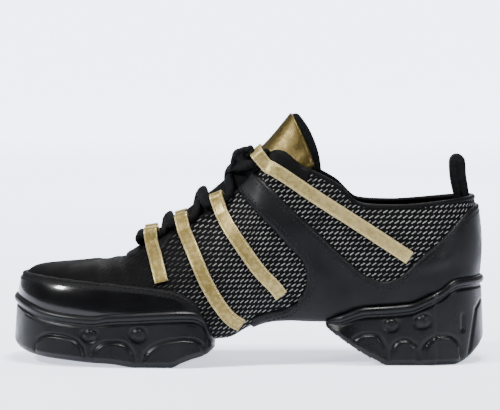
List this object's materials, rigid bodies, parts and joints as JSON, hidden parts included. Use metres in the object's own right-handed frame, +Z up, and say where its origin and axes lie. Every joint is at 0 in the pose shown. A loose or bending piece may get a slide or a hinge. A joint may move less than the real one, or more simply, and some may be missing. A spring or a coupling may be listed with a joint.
{
  "type": "jazz shoe",
  "caption": "Low lace-up dance sneaker with a split rubber sole, hollow mesh and leather upper, metallic straps that carry the lace, padded tongue and heel pull loop.",
  "frame": {"origin": "on the floor under the middle of the shoe's box", "axes": "+X from toe to heel along the shoe's length, +Y towards the inner (big toe) side, +Z up"},
  "size_m": [0.2649, 0.1012, 0.1389],
  "materials": {
    "mesh_cloth": "open black mesh with grey dashes",
    "toe_leather": "glossy smooth black leather",
    "counter_leather": "satin black leather",
    "sole_rubber": "matte black moulded rubber",
    "lining_cloth": "black lining cloth",
    "tongue_leather": "pale gold leather over black padded lining",
    "gold_leather": "pale gold metallic leather with a fine grain",
    "lace_cord": "black woven lace",
    "webbing": "black woven tape"
  },
  "bodies": {
    "root": {"forefoot_sole": "sole_rubber", "heel_counter": "counter_leather", "heel_sole": "sole_rubber", "insole": "lining_cloth", "lace_bars": "lace_cord", "lace_end_inner": "lace_cord", "lace_end_outer": "lace_cord", "lace_knot": "lace_cord", "pull_loop": "webbing", "strap_inner_1": "gold_leather", "strap_inner_2": "gold_leather", "strap_inner_3": "gold_leather", "strap_inner_4": "gold_leather", "strap_outer_1": "gold_leather", "strap_outer_2": "gold_leather", "strap_outer_3": "gold_leather", "strap_outer_4": "gold_leather", "toe_cap": "toe_leather", "tongue": "tongue_leather", "upper": "mesh_cloth"}
  },
  "joints": []
}
